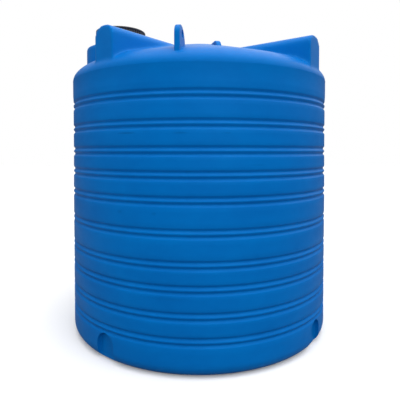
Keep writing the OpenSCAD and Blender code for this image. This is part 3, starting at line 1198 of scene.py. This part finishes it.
@dataclass
class ManwayLid:
    """The black screw lid with its grip ribs and raised ring."""

    centre: Point
    top: float = 2.680
    under: float = 2.670
    skirt_low: float = 2.570
    bore: float = 0.0205
    inner: float = 0.214
    skirt: float = 0.220
    flange: float = 0.226
    ribs: int = 60
    rib_size: tuple[float, float, float] = (0.0085, 0.010, 0.086)
    webs: int = 8
    web_size: tuple[float, float, float] = (0.006, 0.072, 0.005)
    web_distance: float = 0.156
    ring_outer: float = 0.120
    ring_inner: float = 0.111

    def rib(self) -> bpy.types.Object:
        """One grip rib on the skirt, with rounded edges."""
        bpy.ops.mesh.primitive_cube_add(size=1.0)
        rib = new_piece("rib")
        rib.scale = self.rib_size
        rib.location = (0, -(self.skirt + 0.0015), self.skirt_low + 0.048)
        bake_place(rib)
        return round_edges(rib, 0.0025, 40, 2)

    def web(self) -> bpy.types.Object:
        """One low web on the lid's face."""
        bpy.ops.mesh.primitive_cube_add(size=1.0)
        web = new_piece("web")
        web.scale = self.web_size
        web.location = (0, -self.web_distance, self.top - 0.0035)
        bake_place(web)
        return round_edges(web, 0.0014, 40, 2)

    def build(self) -> None:
        """Builds the lid and hands it over."""
        face, ring_top = self.top - 0.004, self.top - 0.0025
        outline = [
            (self.bore, self.under), (self.inner, self.under),
            (self.inner, self.skirt_low + 0.001), (self.inner + 0.001, self.skirt_low),
            (self.skirt - 0.001, self.skirt_low),
            (self.skirt, self.skirt_low + 0.001), (self.skirt, self.under - 0.009),
            *arc((self.flange - 0.004, self.under - 0.003), 0.004, -80, 0, 3),
            *arc((self.flange - 0.006, self.top - 0.006), 0.006, 0, 90, 5),
            *arc((self.skirt - 0.016, self.top - 0.002), 0.002, 90, 180, 2),
            (self.skirt - 0.024, face),
            (self.ring_outer, face), (self.ring_outer - 0.0015, ring_top),
            (self.ring_inner + 0.0015, ring_top), (self.ring_inner, face),
            (self.bore, face), (self.bore, self.under),
        ]
        parts = [lathe("manway_lid_skin", outline, 144)]
        rib = self.rib()
        for i in range(self.ribs):
            parts.append(place(copy_piece(rib), angle=360 * i / self.ribs))
        bpy.data.objects.remove(rib, do_unlink=True)
        for i in range(self.webs):
            parts.append(place(self.web(), angle=360 * i / self.webs))
        whole = join(parts, "manway_lid_skin")
        place(whole, Matrix.Translation((*self.centre, 0)))
        hand_over(whole, "lid", LID_BLACK, ("manway_lid",), 40)


# ---------------------------------------------------------------- stage


@dataclass(frozen=True)
class Lamp:
    """One soft area light: its place, aim, size, power and whether it shows in gloss."""

    name: str
    location: tuple[float, float, float]
    aim: tuple[float, float, float]
    size: Point
    power: float
    in_gloss: bool = True

    def hang(self) -> None:
        """Adds the light."""
        bpy.ops.object.light_add(type="AREA", location=self.location)
        lamp = bpy.context.active_object
        lamp.name = self.name
        lamp.data.shape = "RECTANGLE"
        lamp.data.size, lamp.data.size_y = self.size
        lamp.data.energy = self.power
        away = Vector(self.aim) - Vector(self.location)
        lamp.rotation_euler = away.to_track_quat("-Z", "Y").to_euler()
        lamp.visible_glossy = self.in_gloss


LAMPS = (
    Lamp("overhead", (0.0, -1.6, 6.4), (0.0, -0.5, 1.2), (6, 5), 150),
    Lamp("key", (1.6, -6.5, 3.4), (0.0, 0.0, 1.2), (5, 4), 100, in_gloss=False),
    Lamp("left_fill", (-6.0, -3.6, 3.2), (0.0, 0.0, 1.2), (4, 4), 75, in_gloss=False),
)


@dataclass
class Stage:
    """Pale floor, soft light and the camera."""

    camera_place: tuple[float, float, float] = (0.0, -3.872, 1.5755)
    camera_pitch: float = 1.588
    lens: float = 36.08
    shift: Point = (0.00225, -0.0935)
    sky_high: float = 1.35
    sky_low: float = 0.12
    sky_left: float = 0.40
    sky_right: float = 1.25
    floor_seen: float = 0.95
    floor_bounce: float = 0.25
    floor_glow: float = 0.07

    def floor(self) -> None:
        """Wide pale floor under the tank."""
        bpy.ops.mesh.primitive_plane_add(size=80, location=(0, 0, 0))
        floor = new_piece("floor")
        bake_place(floor)
        paint = bpy.data.materials.new("floor_paint")
        paint.use_nodes = True
        shader = next(n for n in paint.node_tree.nodes if n.type == "BSDF_PRINCIPLED")
        tree = paint.node_tree
        ray = add_node(tree, "ShaderNodeLightPath")
        shade = add_node(
            tree, "ShaderNodeMapRange", To_Min=self.floor_bounce, To_Max=self.floor_seen
        )
        tree.links.new(ray.outputs["Is Camera Ray"], shade.inputs[0])
        tree.links.new(shade.outputs[0], shader.inputs["Base Color"])
        glow = math_node(tree, "MULTIPLY", ray.outputs["Is Camera Ray"], self.floor_glow)
        shader.inputs["Emission Color"].default_value = (1, 1, 1, 1)
        tree.links.new(glow, shader.inputs["Emission Strength"])
        shader.inputs["Roughness"].default_value = 1.0
        shader.inputs["Specular IOR Level"].default_value = 0.0
        floor.data.materials.append(paint)

    def sky(self) -> None:
        """Overcast sky that is brightest high up and to the right, with a white backdrop."""
        world = bpy.data.worlds.new("overcast")
        world.use_nodes = True
        bpy.context.scene.world = world
        tree = world.node_tree
        link = tree.links.new
        back = next(n for n in tree.nodes if n.type == "BACKGROUND")
        where = add_node(tree, "ShaderNodeTexCoord")
        split = add_node(tree, "ShaderNodeSeparateXYZ")
        link(where.outputs["Generated"], split.inputs[0])
        height = add_node(
            tree, "ShaderNodeMapRange", interpolation_type="SMOOTHSTEP",
            From_Min=0.04, From_Max=0.60, To_Min=0.0, To_Max=self.sky_high,
        )
        link(split.outputs[2], height.inputs[0])
        side = add_node(
            tree, "ShaderNodeMapRange", interpolation_type="SMOOTHSTEP",
            From_Min=-0.9, From_Max=1.0, To_Min=self.sky_left, To_Max=self.sky_right,
        )
        link(split.outputs[0], side.inputs[0])
        spread = math_node(tree, "MULTIPLY", height.outputs[0], side.outputs[0])
        glow = math_node(tree, "ADD", spread, self.sky_low)
        ray = add_node(tree, "ShaderNodeLightPath")
        seen = math_node(tree, "MAXIMUM", glow, ray.outputs["Is Camera Ray"])
        back.inputs["Color"].default_value = (1, 1, 1, 1)
        link(seen, back.inputs["Strength"])

    def build(self) -> None:
        """Builds the floor, lights, world and camera."""
        self.floor()
        for lamp in LAMPS:
            lamp.hang()
        self.sky()
        bpy.context.scene.view_settings.view_transform = "Standard"
        bpy.ops.object.camera_add(
            location=self.camera_place, rotation=(math.radians(90 - self.camera_pitch), 0, 0)
        )
        camera = bpy.context.active_object
        camera.data.lens = self.lens
        camera.data.sensor_width = 36
        camera.data.shift_x, camera.data.shift_y = self.shift
        bpy.context.scene.camera = camera


# ---------------------------------------------------------------- all together


def dress_frame(frame: dict) -> None:
    """Gives every CAD node that is still shown the finish of its slot.
    """
    for part in frame["record"]["subparts"]:
        node, finish = frame["nodes"].get(part["node"]), FINISHES.get(part["material_slot"])
        if node is not None and finish is not None and not node.hide_render:
            dress(node, finish)
            LOG.info("%s keeps its shape, in %s", node.name, finish.name)


def main() -> None:
    """Builds everything round the frame."""
    logging.basicConfig(level=logging.INFO, format="%(name)s %(message)s")
    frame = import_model()
    body = TankBody()
    body.build()
    ManwayLid(body.manway).build()
    dress_frame(frame)
    Stage().build()


if __name__ == "__main__":
    main()
